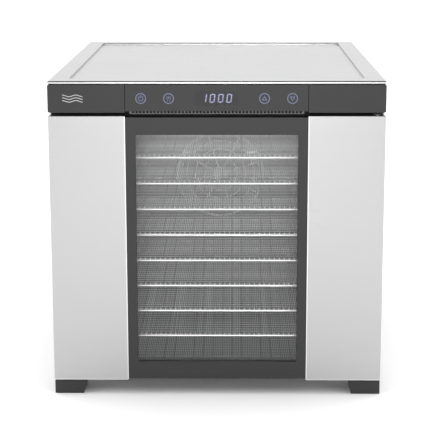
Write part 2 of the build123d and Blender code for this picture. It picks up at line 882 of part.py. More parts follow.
def door_frame():
    """Moulded core of the door, with the raised dark border of the window."""
    skin = steel_skin
    side = half_width - skin
    back = door_back - back_cover
    through = (front_y, back + overcut)
    core = block((-side, side), (front_y + skin, back), (door_bottom + skin, door_top - skin))
    centre_x = (-centre_half_width, centre_half_width)
    core -= [block(centre_x, through, (0, centre_bottom)), block(centre_x, through, (centre_top, height))]
    window_x = (-window_half_width, window_half_width)
    core -= block(window_x, through, (window_bottom, window_top))
    pocket = 5.0
    pocket_x = window_half_width + pocket
    pocket_z = (window_bottom - pocket, window_top + pocket)
    core -= block((-pocket_x, pocket_x), (glass_front, back + overcut), pocket_z)
    rib = 4.0
    hollow_y = (front_y + 4.0, back + overcut)
    hollow_z = (door_bottom + 9.0, door_top - 9.0)
    core -= block((pocket_x + rib, 188.0), hollow_y, hollow_z)
    core -= block((-202.0, -pocket_x - rib), hollow_y, hollow_z)
    screw_y = (door_back - screw_length, door_back)
    core -= [rod_y(screw_radius, x, z, screw_y) for x, z in door_screw_places()]
    return core - bush_holes(bush_radius)


def door_glass():
    """Tempered pane that lies in the moulding's pocket."""
    x = window_half_width + glass_margin
    y = (glass_front, glass_front + glass_thickness)
    return block((-x, x), y, (window_bottom - glass_margin, window_top + glass_margin))


def door_inner_frame():
    """Back cover of the door, with a lip that presses the glass into its pocket."""
    side = half_width - steel_skin
    inner = window_half_width + 1.0
    outer = window_half_width + glass_margin
    back = (door_back - back_cover, door_back)
    cover = block((-side, side), back, (door_bottom + steel_skin, door_top - steel_skin))
    lip_y = (glass_front + glass_thickness, door_back)
    cover += block((-outer, outer), lip_y, (window_bottom - glass_margin, window_top + glass_margin))
    opening_z = (window_bottom - 1.0, window_top + 1.0)
    cover -= block((-inner, inner), (front_y, door_back + overcut), opening_z)
    cover -= strike_plate()
    through = (back[0] - overcut, back[1] + overcut)
    for x, z in door_screw_places():
        cover -= rod_y(screw_radius + screw_hole_gap, x, z, through)
    return cover


def door_side_panel():
    """Right-hand steel skin, folded over the side, top and bottom of the door."""
    skin = steel_skin
    border_gap = 0.3
    fold_radius = 0.7
    x = (centre_half_width + border_gap, half_width)
    body = block(x, (front_y, door_back), (door_bottom, door_top))
    corners = body.edges().filter_by(Axis.Y)
    body = fillet(corners, corner_radius / 2)
    body = fillet(body.faces().sort_by(Axis.Y)[0].edges(), fold_radius)
    inside_x = (x[0] - overcut, half_width - skin)
    inside_z = (door_bottom + skin, door_top - skin)
    body -= block(inside_x, (front_y + skin, door_back + overcut), inside_z)
    return body


def door_right_panel():
    """The right-hand skin, with holes for the hinge pins."""
    return door_side_panel() - bush_holes(bush_radius - 1.0)


def door_seal():
    """Soft seal around the back of the door."""
    y = (door_back, door_back + seal_thickness)
    through = (y[0] - overcut, y[1] + overcut)
    outer = block((-181.0, 181.0), y, (21.6, 358.2))
    inner = block((-174.5, 174.5), through, (26.2, 353.0))
    return outer - inner


def hinge_bushes():
    """Plain bearings in the door that turn on the hinge pins."""
    lower_z = (door_bottom + steel_skin, door_bottom + bush_length)
    upper_z = (door_top - bush_length, door_top - steel_skin)
    bore = rod_z(pin_radius + running_clearance, hinge_x, hinge_y, (0, height))
    return group([rod_z(bush_radius, hinge_x, hinge_y, levels) - bore for levels in (lower_z, upper_z)])


def door_screw_places():
    """Screws through the door's back cover into the moulded core."""
    return [(x, z) for x in (-185.5, 191.0) for z in (60.0, 150.0, 260.0, 330.0)]


def door_screws():
    """Eight screws that hold the back cover."""
    y = (door_back - screw_length, door_back)
    return group([rod_y(screw_radius, x, z, y) for x, z in door_screw_places()])


right_side = side_panel()
right_wall = liner_wall()
right_ledges = tray_ledges()
right_header = header_end()
icons = touch_icons()

save("top_cover", top_cover())
save("left_side_panel", mirrored(right_side))
save("right_side_panel", right_side)
save("rear_panel", rear_panel())
save("base_pan", base_pan())
save("front_frame", front_frame())
save("vent_strip", vent_strip())
save("liner_left_wall", mirrored(right_wall))
save("liner_right_wall", right_wall)
save("liner_floor", liner_floor())
save("liner_ceiling", liner_ceiling())
save("left_tray_ledges", mirrored(right_ledges))
save("right_tray_ledges", right_ledges)
for tray_index in range(tray_count):
    save(f"tray_{tray_index + 1:02d}", tray(tray_index))

save("fan_baffle", fan_baffle())
save("fan_guard", fan_guard())
save("heater_coil", heater_coil())
save("heater_clips", heater_clips())
save("fan_impeller", fan_impeller())
save("motor_shaft", motor_shaft())
save("hub_nut", hub_nut())
save("fan_motor", fan_motor())
save("motor_bracket", motor_bracket())
save("thermal_cutout", thermal_cutout())
save("temperature_probe", temperature_probe())

save("header_left_end", mirrored(right_header))
save("header_right_end", right_header)
save("touch_icons", icons)
save("control_panel", control_panel(icons))
save("display_window", display_window())
save("display_digits", display_digits())
save("control_board", control_board())
save("power_board", power_board())
save("mains_inlet", mains_inlet())
save("internal_wiring", internal_wiring())

save("feet", feet())
save("foot_screws", foot_screws())
save("cabinet_screws", cabinet_screws())
save("upper_hinge_bracket", upper_hinge_bracket())
save("lower_hinge_bracket", lower_hinge_bracket())
save("hinge_pins", hinge_pins())
save("catch_magnet", catch_magnet())

save("door_frame", door_frame())
save("door_glass", door_glass())
save("door_inner_frame", door_inner_frame())
save("door_left_panel", mirrored(door_side_panel()))
save("door_right_panel", door_right_panel())
save("door_seal", door_seal())
save("strike_plate", strike_plate())
save("hinge_bushes", hinge_bushes())
save("door_screws", door_screws())
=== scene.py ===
import math

import bmesh
import bpy
from mathutils import Matrix, Vector


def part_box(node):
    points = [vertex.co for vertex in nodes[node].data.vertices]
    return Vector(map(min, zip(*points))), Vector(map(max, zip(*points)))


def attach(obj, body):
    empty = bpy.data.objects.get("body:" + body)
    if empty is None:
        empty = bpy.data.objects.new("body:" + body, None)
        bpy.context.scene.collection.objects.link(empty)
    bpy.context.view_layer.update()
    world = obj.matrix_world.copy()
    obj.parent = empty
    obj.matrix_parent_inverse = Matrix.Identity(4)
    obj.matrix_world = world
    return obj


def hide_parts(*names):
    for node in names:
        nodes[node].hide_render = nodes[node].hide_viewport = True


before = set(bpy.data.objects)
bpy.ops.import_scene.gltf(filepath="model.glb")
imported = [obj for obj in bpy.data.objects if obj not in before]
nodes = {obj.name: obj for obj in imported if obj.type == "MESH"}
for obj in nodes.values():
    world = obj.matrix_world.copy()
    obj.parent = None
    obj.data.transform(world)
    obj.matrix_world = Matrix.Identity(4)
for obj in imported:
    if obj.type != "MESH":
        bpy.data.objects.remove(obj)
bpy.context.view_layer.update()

# Camera: it stands well back from the door, about 0.6 m above the worktop, and looks slightly
# down, so that the top cover shows as a shallow band above the front.
camera_place = Vector((0.0219, -1.8695, 0.6066))
look_down = math.radians(11.335)
look_left = math.radians(0.85)
tilt = math.radians(-0.127)
camera = bpy.data.objects.new("camera", bpy.data.cameras.new("camera"))
camera.data.lens = 111.79
camera.data.sensor_width = 36.0
camera.data.shift_y = -0.085
turn = Matrix.Rotation(look_left, 4, "Z") @ Matrix.Rotation(math.pi / 2 - look_down, 4, "X")
camera.matrix_world = Matrix.Translation(camera_place) @ turn @ Matrix.Rotation(tilt, 4, "Z")
bpy.context.scene.collection.objects.link(camera)
bpy.context.scene.camera = camera
bpy.context.scene.view_settings.view_transform = "Standard"


# Studio: a white room with a dark patch high up behind the camera. A soft box overhead lights
# the steel without showing in it, three more stand in front and at the sides, and a slim one
# hangs in the chamber behind the trays, to show the fan's guard.
def add(tree, kind, **settings):
    """A shader node; capitalised settings go to its inputs, the others to the node."""
    node = tree.nodes.new("ShaderNode" + kind)
    for key, value in settings.items():
        if key[0].isupper():
            node.inputs[key.replace("_", " ")].default_value = value
        else:
            setattr(node, key, value)
    return node


def join(tree, source, output, target, entry):
    tree.links.new(source.outputs[output], target.inputs[entry])


def soft_light(name, place, aim, size, power, mirrored=True):
    """A rectangular soft box; one that isn't mirrored lights steel without showing in it."""
    light = bpy.data.objects.new(name, bpy.data.lights.new(name, "AREA"))
    light.data.shape = "RECTANGLE"
    light.data.size, light.data.size_y = size
    light.data.energy = power
    facing = (Vector(aim) - Vector(place)).to_track_quat("-Z", "Y")
    light.matrix_world = Matrix.Translation(place) @ facing.to_matrix().to_4x4()
    light.visible_glossy = mirrored
    bpy.context.scene.collection.objects.link(light)


first_colour = 6
second_colour = 7
mixed_colour = 2
dark_direction = (0.0, -0.75, 0.66)
room_brightness = 1.03
room = bpy.data.worlds.new("room")
room.use_nodes = True
tree = room.node_tree
heading = add(tree, "TexCoord")
towards_front = add(tree, "VectorMath", operation="DOT_PRODUCT")
towards_front.inputs[1].default_value = dark_direction
dark_patch = add(tree, "MapRange", From_Min=0.72, From_Max=0.95)
walls = add(tree, "Mix", data_type="RGBA")
walls.inputs[first_colour].default_value = (1.0, 1.0, 1.0, 1.0)
walls.inputs[second_colour].default_value = (0.12, 0.12, 0.12, 1.0)
join(tree, heading, "Generated", towards_front, 0)
join(tree, towards_front, "Value", dark_patch, "Value")
join(tree, dark_patch, "Result", walls, 0)
tree.links.new(walls.outputs[mixed_colour], tree.nodes["Background"].inputs["Color"])
tree.nodes["Background"].inputs["Strength"].default_value = room_brightness
bpy.context.scene.world = room
soft_light("top_light", place=(0, 0, 4.0), aim=(0, 0, 0), size=(12.0, 12.0), power=400, mirrored=False)
soft_light("window_light", place=(0.0, -2.2, 0.6), aim=(0, -0.2, 0.15), size=(0.5, 0.5), power=6)
soft_light("chamber_light", place=(0, 0.165, 0.345), aim=(0, 0.172, 0.2), size=(0.16, 0.006), power=0.6)
soft_light("left_light", place=(-1.7, -0.9, 0.5), aim=(0, -0.1, 0.2), size=(0.5, 1.2), power=3)
soft_light("right_light", place=(1.7, -0.9, 0.5), aim=(0, -0.1, 0.2), size=(0.5, 1.2), power=3)


# Floor: a flat sheet of pale matt board under the machine, which stands for the worktop. It
# reaches six metres each way, and its tone is faintly mottled.
merge_distance = 1e-6
floor_reach = 6.0


def mesh_from(bm, name, smooth_below=None):
    """An object whose mesh is the finished bmesh, with its faces turned outwards."""
    bmesh.ops.remove_doubles(bm, verts=bm.verts, dist=merge_distance)
    bmesh.ops.recalc_face_normals(bm, faces=bm.faces)
    if smooth_below:
        for face in bm.faces:
            face.smooth = True
        for edge in bm.edges:
            edge.smooth = edge.calc_face_angle(math.pi) < math.radians(smooth_below)
    mesh = bpy.data.meshes.new(name)
    bm.to_mesh(mesh)
    bm.free()
    piece = bpy.data.objects.new(name, mesh)
    bpy.context.scene.collection.objects.link(piece)
    return piece


def new_finish(name, **settings):
    """A material with one Principled shader, its plain values set on the shader itself."""
    finish = bpy.data.materials.new(name)
    finish.use_nodes = True
    tree = finish.node_tree
    shader = tree.nodes["Principled BSDF"]
    for key, value in settings.items():
        shader.inputs[key.replace("_", " ")].default_value = value
    return finish, tree, shader


def paint(finish, *names):
    """Gives the finish to CAD nodes or new pieces."""
    for name in names:
        piece = nodes.get(name) or bpy.data.objects[name]
        piece.data.materials.clear()
        piece.data.materials.append(finish)


bm = bmesh.new()
bmesh.ops.create_grid(bm, x_segments=1, y_segments=1, size=floor_reach)
mesh_from(bm, "floor")
floor_finish, tree, shader = new_finish("pale_floor", Roughness=0.9, Specular_IOR_Level=0.1)
mottle = add(tree, "TexNoise", Scale=3.0, Detail=2.0)
tint = add(tree, "MapRange", To_Min=0.93, To_Max=0.95)
place = add(tree, "TexCoord")
join(tree, place, "Object", mottle, "Vector")
join(tree, mottle, "Fac", tint, "Value")
join(tree, tint, "Result", shader, "Base Color")
paint(floor_finish, "floor")


# Steel shell: side, rear and base sheets in brushed stainless, folded on a press brake and
# screwed together. The grain runs along each sheet as it comes off the roll.
def new_effect(name, entries, results):
    """An empty node group with named inputs and outputs."""
    effect = bpy.data.node_groups.new(name, "ShaderNodeTree")
    for label, kind, value in entries:
        socket = effect.interface.new_socket(label, in_out="INPUT", socket_type="NodeSocket" + kind)
        socket.default_value = value
    for label, kind in results:
        effect.interface.new_socket(label, in_out="OUTPUT", socket_type="NodeSocket" + kind)
    return effect, effect.nodes.new("NodeGroupInput"), effect.nodes.new("NodeGroupOutput")


brushed, entry, result = new_effect(
    "brushed_grain",
    [("Stretch", "Vector", (1400.0, 1400.0, 8.0)), ("Depth", "Float", 0.1)],
    [("Streak", "Float"), ("Smudge", "Float"), ("Normal", "Vector")])
place = add(brushed, "TexCoord")
stretched = add(brushed, "VectorMath", operation="MULTIPLY")
streaks = add(brushed, "TexNoise", Scale=1.0, Detail=3.0, Roughness=0.6)
smudges = add(brushed, "TexNoise", Scale=7.0, Detail=3.0, Roughness=0.55)
lines = add(brushed, "Bump", Distance=0.0002)
join(brushed, place, "Object", stretched, 0)
join(brushed, entry, "Stretch", stretched, 1)
join(brushed, stretched, "Vector", streaks, "Vector")
join(brushed, place, "Object", smudges, "Vector")
join(brushed, streaks, "Fac", lines, "Height")
join(brushed, entry, "Depth", lines, "Strength")
join(brushed, streaks, "Fac", result, "Streak")
join(brushed, smudges, "Fac", result, "Smudge")
join(brushed, lines, "Normal", result, "Normal")


def steel_finish(name, stretch, tone, rough, depth=0.08, **settings):
    """Steel sheet or wire: grain in tone, gloss and bump, handling marks in its gloss."""
    finish, tree, shader = new_finish(name, Metallic=1.0, **settings)
    grain = add(tree, "Group", node_tree=brushed)
    grain.inputs["Stretch"].default_value = stretch
    grain.inputs["Depth"].default_value = depth
    shade = add(tree, "Mix", data_type="RGBA")
    dark_streak = tone * 0.96
    cool_streak = tone * 0.965
    light_streak = tone * 1.04
    gloss_spread = 0.09
    shade.inputs[first_colour].default_value = (dark_streak, dark_streak, cool_streak, 1)
    shade.inputs[second_colour].default_value = (light_streak, light_streak, light_streak, 1)
    marks = add(tree, "Math", operation="ADD")
    polish = add(tree, "MapRange", From_Max=2.0, To_Min=rough - gloss_spread,
                 To_Max=rough + gloss_spread)
    join(tree, grain, "Streak", shade, 0)
    tree.links.new(shade.outputs[mixed_colour], shader.inputs["Base Color"])
    join(tree, grain, "Streak", marks, 0)
    join(tree, grain, "Smudge", marks, 1)
    join(tree, marks, "Value", polish, "Value")
    join(tree, polish, "Result", shader, "Roughness")
    join(tree, grain, "Normal", shader, "Normal")
    return finish


across = (8.0, 1400.0, 1400.0)
lengthways = (1400.0, 8.0, 1400.0)
even = (300.0, 300.0, 300.0)
paint(steel_finish("side_steel", lengthways, 0.47, 0.34), "left_side_panel", "right_side_panel")
paint(steel_finish("rear_steel", across, 0.5, 0.36), "rear_panel", "base_pan")


# Feet: four ABS blocks with a fine moulded texture. One screw in a counterbore holds each of
# them up against the base.
moulded, entry, result = new_effect(
    "moulded_grain",
    [("Scale", "Float", 1600.0), ("Depth", "Float", 0.12)],
    [("Grain", "Float"), ("Cloud", "Float"), ("Normal", "Vector")])
place = add(moulded, "TexCoord")
pits = add(moulded, "TexNoise", Detail=2.0, Roughness=0.5)
clouds = add(moulded, "TexNoise", Scale=11.0, Detail=3.0)
texture = add(moulded, "Bump", Distance=0.0003)
join(moulded, place, "Object", pits, "Vector")
join(moulded, entry, "Scale", pits, "Scale")
join(moulded, place, "Object", clouds, "Vector")
join(moulded, pits, "Fac", texture, "Height")
join(moulded, entry, "Depth", texture, "Strength")
join(moulded, pits, "Fac", result, "Grain")
join(moulded, clouds, "Fac", result, "Cloud")
join(moulded, texture, "Normal", result, "Normal")


def moulding_finish(name, colour, rough, depth=0.12, scale=1600.0, **settings):
    """Moulded plastic, paint or rubber: textured, with faint clouds in tone and the grain in its gloss.
    """
    finish, tree, shader = new_finish(name, **settings)
    grain = add(tree, "Group", node_tree=moulded)
    grain.inputs["Scale"].default_value = scale
    grain.inputs["Depth"].default_value = depth
    shade = add(tree, "Mix", data_type="RGBA")
    darker = 0.92
    lighter = 1.08
    glossier = 0.05
    duller = 0.06
    shade.inputs[first_colour].default_value = tuple(c * darker for c in colour) + (1,)
    shade.inputs[second_colour].default_value = tuple(c * lighter for c in colour) + (1,)
    gloss = add(tree, "MapRange", To_Min=rough - glossier, To_Max=rough + duller)
    join(tree, grain, "Cloud", shade, 0)
    tree.links.new(shade.outputs[mixed_colour], shader.inputs["Base Color"])
    join(tree, grain, "Grain", gloss, "Value")
    join(tree, gloss, "Result", shader, "Roughness")
    join(tree, grain, "Normal", shader, "Normal")
    return finish


paint(moulding_finish("foot_moulding", (0.014, 0.014, 0.0145), 0.5, 0.25, 900.0), "feet")


# Front frame: the sheet the door closes against. It is given a black powder coat, which is
# painted shade: it makes the gap round the door read dark.
black_paint_and_shade = moulding_finish("black_coat_and_shade", (0.006, 0.006, 0.006), 0.6, 0.25, 900.0)
paint(black_paint_and_shade, "front_frame")


# Cabinet fasteners: zinc-plated pan heads with a cross recess. Ten hold the rear panel,
# four the motor strap, and one each foot.
zinc = steel_finish("bright_zinc", even, 0.66, 0.3)


def carve(piece, cutter):
    """Cuts one finished shape out of another and drops the cutter."""
    cut = piece.modifiers.new("cut", "BOOLEAN")
    cut.object = cutter
    cut.use_self = True
    bpy.context.view_layer.update()
    finished = piece.evaluated_get(bpy.context.evaluated_depsgraph_get())
    solid = bpy.data.meshes.new_from_object(finished)
    piece.modifiers.clear()
    piece.data = solid
    bpy.data.objects.remove(cutter)


def spun(bm, profile, steps=16):
    """Turns a profile of (radius, height) points round Z and adds it to the bmesh."""
    points = [bm.verts.new((radius, 0, level)) for radius, level in profile]
    edges = [bm.edges.new(pair) for pair in zip(points, points[1:])]
    bmesh.ops.spin(bm, geom=points + edges, axis=(0, 0, 1), cent=(0, 0, 0), steps=steps,
                   angle=2 * math.pi, use_merge=True)


def cross_head_screw(head_radius, head_height, shank_radius, shank_length):
    """Mesh of one screw that points down -Z, with its head's seat at the origin."""
    bm = bmesh.new()
    spun(bm, [(0, head_height), (head_radius * 0.55, head_height), (head_radius * 0.9, head_height * 0.6),
              (head_radius, 0), (shank_radius, 0), (shank_radius, -shank_length), (0, -shank_length)])
    screw = mesh_from(bm, "one_screw")
    bm = bmesh.new()
    for quarter in range(2):
        slot = bmesh.ops.create_cube(bm, size=1.0)["verts"]
        bmesh.ops.scale(bm, vec=(head_radius * 1.1, head_radius * 0.24, head_height * 1.3), verts=slot)
        spin = Matrix.Rotation(quarter * math.pi / 2, 3, "Z")
        bmesh.ops.rotate(bm, cent=(0, 0, 0), matrix=spin, verts=slot)
        bmesh.ops.translate(bm, vec=(0, 0, head_height), verts=slot)
    carve(screw, mesh_from(bm, "recess"))
    return screw


def screw_group(name, places, facing, screw, body, *replaced):
    """Copies of one screw at each place, all with their heads facing one way."""
    turn_step = 0.7
    bm = bmesh.new()
    lie = Vector(facing).to_track_quat("Z", "Y").to_matrix().to_4x4()
    for index, spot in enumerate(places):
        one = bmesh.new()
        one.from_mesh(screw.data)
        one.transform(Matrix.Translation(spot) @ lie @ Matrix.Rotation(index * turn_step, 4, "Z"))
        holder = bpy.data.meshes.new("screw")
        one.to_mesh(holder)
        one.free()
        bm.from_mesh(holder)
        bpy.data.meshes.remove(holder)
    group = mesh_from(bm, name)
    bpy.data.objects.remove(screw)
    paint(zinc, name)
    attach(group, body)
    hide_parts(*replaced)


def boxes_of(name):
    """Lowest and highest corners of each separate solid of a CAD node."""
    bm = bmesh.new()
    bm.from_mesh(nodes[name].data)
    bmesh.ops.remove_doubles(bm, verts=bm.verts, dist=merge_distance)
    left = set(bm.verts)
    found = []
    while left:
        reached = [left.pop()]
        corners = []
        while reached:
            vert = reached.pop()
            corners.append(vert.co.copy())
            for edge in vert.link_edges:
                other = edge.other_vert(vert)
                if other in left:
                    left.remove(other)
                    reached.append(other)
        low = Vector(min(corner[i] for corner in corners) for i in range(3))
        high = Vector(max(corner[i] for corner in corners) for i in range(3))
        found.append((low, high))
    bm.free()
    return sorted(found, key=lambda pair: tuple(round(value, 5) for value in pair[0]))


rear_screws = boxes_of("cabinet_screws")
panel_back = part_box("rear_panel")[1].y
screw_spots = [((low.x + high.x) / 2, panel_back, (low.z + high.z) / 2) for low, high in rear_screws]
rear_screw = cross_head_screw(head_radius=0.0036, head_height=0.0015, shank_radius=0.0018,
                              shank_length=0.006)
screw_group("rear_screws", screw_spots, (0, 1, 0), rear_screw, "cabinet", "cabinet_screws")
head_seat = 0.008
foot_spots = [((low.x + high.x) / 2, (low.y + high.y) / 2, head_seat)
              for low, high in boxes_of("foot_screws")]
foot_bolt = cross_head_screw(head_radius=0.0036, head_height=0.0021, shank_radius=0.0018,
                             shank_length=0.0154)
screw_group("foot_bolts", foot_spots, (0, 0, -1), foot_bolt, "cabinet", "foot_screws")


# Chamber liner: thin stainless walls, ceiling and ledges behind the door, and a paler, duller
# floor, folded and spot-welded into a box inside the shell. The walls, ceiling and ledges get
# a dark steel tone, which is painted shade for the inside of the closed chamber.
liner = steel_finish("liner_steel", lengthways, 0.3, 0.3)
paint(liner, "liner_left_wall", "liner_right_wall", "liner_ceiling")
paint(steel_finish("liner_floor_steel", across, 0.75, 0.45), "liner_floor")
paint(liner, "left_tray_ledges", "right_tray_ledges")


# Fan baffle: the stainless back wall of the chamber, with the fan's round opening and two
# rows of return slots. The folded motor strap and the heater's straps are the same sheet. All
# of it gets a very dark steel tone, which is painted shade for the back of the chamber.
paint(steel_finish("painted_shade_baffle_steel", across, 0.14, 0.35), "fan_baffle", "motor_bracket", "heater_clips")


# Fan guard: a thick polished ring round three thinner ones, with eight spokes spot-welded
# across them a little behind and a pressed disc in the middle. It keeps fingers and food out
# of the blades.
def bent_wire(bm, points, radius, closed=True, smoothness=2):
    """Adds a round wire that follows the points."""
    curve = bpy.data.curves.new("wire", "CURVE")
    curve.dimensions = "3D"
    curve.bevel_depth = radius
    curve.bevel_resolution = smoothness
    curve.use_fill_caps = not closed
    line = curve.splines.new("POLY")
    line.points.add(len(points) - 1)
    for point, where in zip(line.points, points):
        point.co = (*where, 1)
    line.use_cyclic_u = closed
    carrier = bpy.data.objects.new("wire", curve)
    bpy.context.scene.collection.objects.link(carrier)
    bpy.context.view_layer.update()
    solid = bpy.data.meshes.new_from_object(carrier)
    bm.from_mesh(solid)
    bpy.data.meshes.remove(solid)
    bpy.data.objects.remove(carrier)
    bpy.data.curves.remove(curve)


def straight_wire(bm, start, end, radius, sides=6):
    along = Vector(end) - Vector(start)
    lie = Matrix.Translation((Vector(start) + Vector(end)) / 2)
    lie = lie @ along.to_track_quat("Z", "Y").to_matrix().to_4x4()
    bmesh.ops.create_cone(bm, cap_ends=True, segments=sides, radius1=radius, radius2=radius,
                          depth=along.length, matrix=lie)


def ring_points(centre, radius, steps=72):
    """Points round an upright circle that faces the door."""
    turns = [2 * math.pi * step / steps for step in range(steps)]
    return [centre + Vector((radius * math.cos(turn), 0, radius * math.sin(turn))) for turn in turns]


low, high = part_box("fan_guard")
fan_centre = (low + high) / 2
ring_wire = (high.y - low.y) / 2
ring_radius = (high.x - low.x) / 2 - ring_wire
thin_rings = (0.026, 0.039, 0.052)
thin_wire = 0.0009
spoke_wire = 0.0013
spoke_start = 0.008
spoke_count = 8
first_spoke = 17
behind = fan_centre + Vector((0, 0.0008, 0))
bm = bmesh.new()
bent_wire(bm, ring_points(fan_centre, ring_radius), ring_wire, smoothness=4)
for radius in thin_rings:
    bent_wire(bm, ring_points(fan_centre, radius, 48), thin_wire)
for spoke in range(spoke_count):
    angle = math.radians(first_spoke + spoke * 360 / spoke_count)
    outward = Vector((math.cos(angle), 0, math.sin(angle)))
    straight_wire(bm, behind + outward * spoke_start, behind + outward * ring_radius, spoke_wire, 8)
guard = mesh_from(bm, "wire_guard", 40)
bm = bmesh.new()
spun(bm, [(0, 0.0018), (0.009, 0.0018), (0.011, 0.0006), (0.011, -0.001), (0, -0.001)], 32)
facing_door = Matrix.Translation(fan_centre) @ Matrix.Rotation(math.pi / 2, 4, "X")
bmesh.ops.transform(bm, matrix=facing_door, verts=bm.verts)
hub_disc = mesh_from(bm, "guard_disc", 40)
polished = steel_finish("polished_wire", even, 0.95, 0.3, 0.04)
paint(polished, "wire_guard", "guard_disc")
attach(guard, "cabinet")
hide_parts("fan_guard")
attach(hub_disc, "cabinet")


# Heater: a sheathed ring element between the baffle and the blades, dark and mottled from
# being hot, with its cut-out and the air probe on the baffle beside it.
sheath, tree, shader = new_finish("heater_sheath", Metallic=1.0)
burn = add(tree, "TexNoise", Scale=45.0, Detail=4.0)
place = add(tree, "TexCoord")
colours = add(tree, "ValToRGB")
colours.color_ramp.elements[0].position = 0.35
colours.color_ramp.elements[0].color = (0.09, 0.075, 0.06, 1)
colours.color_ramp.elements[1].position = 0.7
colours.color_ramp.elements[1].color = (0.26, 0.23, 0.2, 1)
dull = add(tree, "MapRange", To_Min=0.42, To_Max=0.62)
join(tree, place, "Object", burn, "Vector")
join(tree, burn, "Fac", colours, "Fac")
join(tree, colours, "Color", shader, "Base Color")
join(tree, burn, "Fac", dull, "Value")
join(tree, dull, "Result", shader, "Roughness")
paint(sheath, "heater_coil")
black = moulding_finish("black_moulding", (0.012, 0.012, 0.0125), 0.5)
paint(black, "thermal_cutout", "catch_magnet")
paint(zinc, "temperature_probe", "motor_shaft", "hub_nut")


# Impeller: one heat-resistant moulding, a cup-shaped hub with six blades that flatten
# towards their tips. A nut clamps it to the motor's shaft.
low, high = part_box("fan_impeller")
impeller_centre = (low + high) / 2
blade_tip = (high.x - low.x) / 2
hub_radius = 0.017
half_depth = (high.y - low.y) / 2
blade_sheet = 0.0014
blade_count = 6
root_overlap = 0.001
tip_gap = 0.0005
root_pitch = 40
pitch_drop = 16
root_half_chord = 0.012
chord_swell = 0.006
camber = 0.002
bore_radius = 0.0031
bm = bmesh.new()
for blade in range(blade_count):
    sheet = bmesh.ops.create_grid(bm, x_segments=10, y_segments=6, size=1.0)["verts"]
    for vert in sheet:
        outward = (vert.co.x + 1) / 2
        across_blade = vert.co.y
        radius = hub_radius - root_overlap + outward * (blade_tip - hub_radius - tip_gap)
        pitch = math.radians(root_pitch - pitch_drop * outward)
        half_chord = root_half_chord + chord_swell * math.sin(outward * math.pi * 0.75)
        sideways = across_blade * half_chord * math.cos(pitch)
        forwards = across_blade * half_chord * math.sin(pitch) * 0.8 + camber * (1 - across_blade ** 2)
        length = math.sqrt(max(radius ** 2 - sideways ** 2, 1e-8))
        vert.co = (length, sideways, forwards)
    faces = [face for face in bm.faces if all(vert in sheet for vert in face.verts)]
    bmesh.ops.solidify(bm, geom=faces, thickness=blade_sheet)
    next_blade = Matrix.Rotation(2 * math.pi / blade_count, 3, "Z")
    bmesh.ops.rotate(bm, cent=(0, 0, 0), matrix=next_blade, verts=bm.verts)
spun(bm, [(bore_radius, half_depth - 0.001), (0.012, half_depth - 0.001),
          (hub_radius - 0.001, half_depth - 0.003), (hub_radius, half_depth - 0.007),
          (hub_radius, -half_depth), (0.014, -half_depth), (0.014, 0), (0.007, 0),
          (0.007, -half_depth), (bore_radius, -half_depth),
          (bore_radius, half_depth - 0.001)], 32)
facing_door = Matrix.Translation(impeller_centre) @ Matrix.Rotation(math.pi / 2, 4, "X")
bmesh.ops.transform(bm, matrix=facing_door, verts=bm.verts)
impeller = mesh_from(bm, "moulded_impeller", 35)
paint(moulding_finish("fan_moulding", (0.016, 0.016, 0.017), 0.42), "moulded_impeller")
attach(impeller, "fan")
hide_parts("fan_impeller")


# Fan motor: a pressed can painted dark grey, with its bearing boss left bright. A strap screwed
# to the rear panel holds it behind the blades, which its shaft carries.
boss_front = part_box("fan_motor")[0].y
bright_depth = 0.0035
painted_depth = 0.0042
can, tree, shader = new_finish("motor_can", Metallic=0.7)
place = add(tree, "TexCoord")
depth_in = add(tree, "SeparateXYZ")
boss = add(tree, "MapRange", From_Min=boss_front + bright_depth, From_Max=boss_front + painted_depth)
speckle = add(tree, "TexNoise", Scale=900.0)
metals = add(tree, "Mix", data_type="RGBA")
metals.inputs[first_colour].default_value = (0.6, 0.6, 0.6, 1)
metals.inputs[second_colour].default_value = (0.1, 0.105, 0.11, 1)
orange_peel = add(tree, "Bump", Distance=0.0002, Strength=0.2)
gloss = add(tree, "MapRange", To_Min=0.35, To_Max=0.5)
join(tree, place, "Object", depth_in, "Vector")
join(tree, place, "Object", speckle, "Vector")
join(tree, depth_in, "Y", boss, "Value")
join(tree, boss, "Result", metals, 0)
tree.links.new(metals.outputs[mixed_colour], shader.inputs["Base Color"])
join(tree, speckle, "Fac", gloss, "Value")
join(tree, gloss, "Result", shader, "Roughness")
join(tree, speckle, "Fac", orange_peel, "Height")
join(tree, orange_peel, "Normal", shader, "Normal")
paint(can, "fan_motor")


# Circuit boards: green glass-fibre sheets with their parts standing on them. The power
# board lies on the chamber's ceiling, and the control board stands behind the fascia.
def board_finish(name, axis, first, second):
    """Green up to the board's face, then the darker parts that stand on it."""
    finish, tree, shader = new_finish(name)
    place = add(tree, "TexCoord")
    apart = add(tree, "SeparateXYZ")
    standing = add(tree, "MapRange", From_Min=first, From_Max=second)
    blocks = add(tree, "TexVoronoi", Scale=45.0)
    part_colour = add(tree, "Mix", data_type="RGBA")
    part_colour.inputs[first_colour].default_value = (0.015, 0.015, 0.017, 1)
    part_colour.inputs[second_colour].default_value = (0.02, 0.05, 0.16, 1)
    tracks = add(tree, "TexBrick", Scale=120.0, Color1=(0.012, 0.09, 0.035, 1),
                 Color2=(0.016, 0.12, 0.045, 1), Mortar=(0.03, 0.2, 0.07, 1))
    whole = add(tree, "Mix", data_type="RGBA")
    shine = add(tree, "MapRange", To_Min=0.3, To_Max=0.55)
    join(tree, place, "Object", apart, "Vector")
    join(tree, place, "Object", blocks, "Vector")
    join(tree, place, "Object", tracks, "Vector")
    join(tree, apart, axis, standing, "Value")
    join(tree, blocks, "Distance", part_colour, 0)
    join(tree, standing, "Result", whole, 0)
    tree.links.new(tracks.outputs["Color"], whole.inputs[first_colour])
    tree.links.new(part_colour.outputs[mixed_colour], whole.inputs[second_colour])
    tree.links.new(whole.outputs[mixed_colour], shader.inputs["Base Color"])
    join(tree, blocks, "Distance", shine, "Value")
    join(tree, shine, "Result", shader, "Roughness")
    return finish


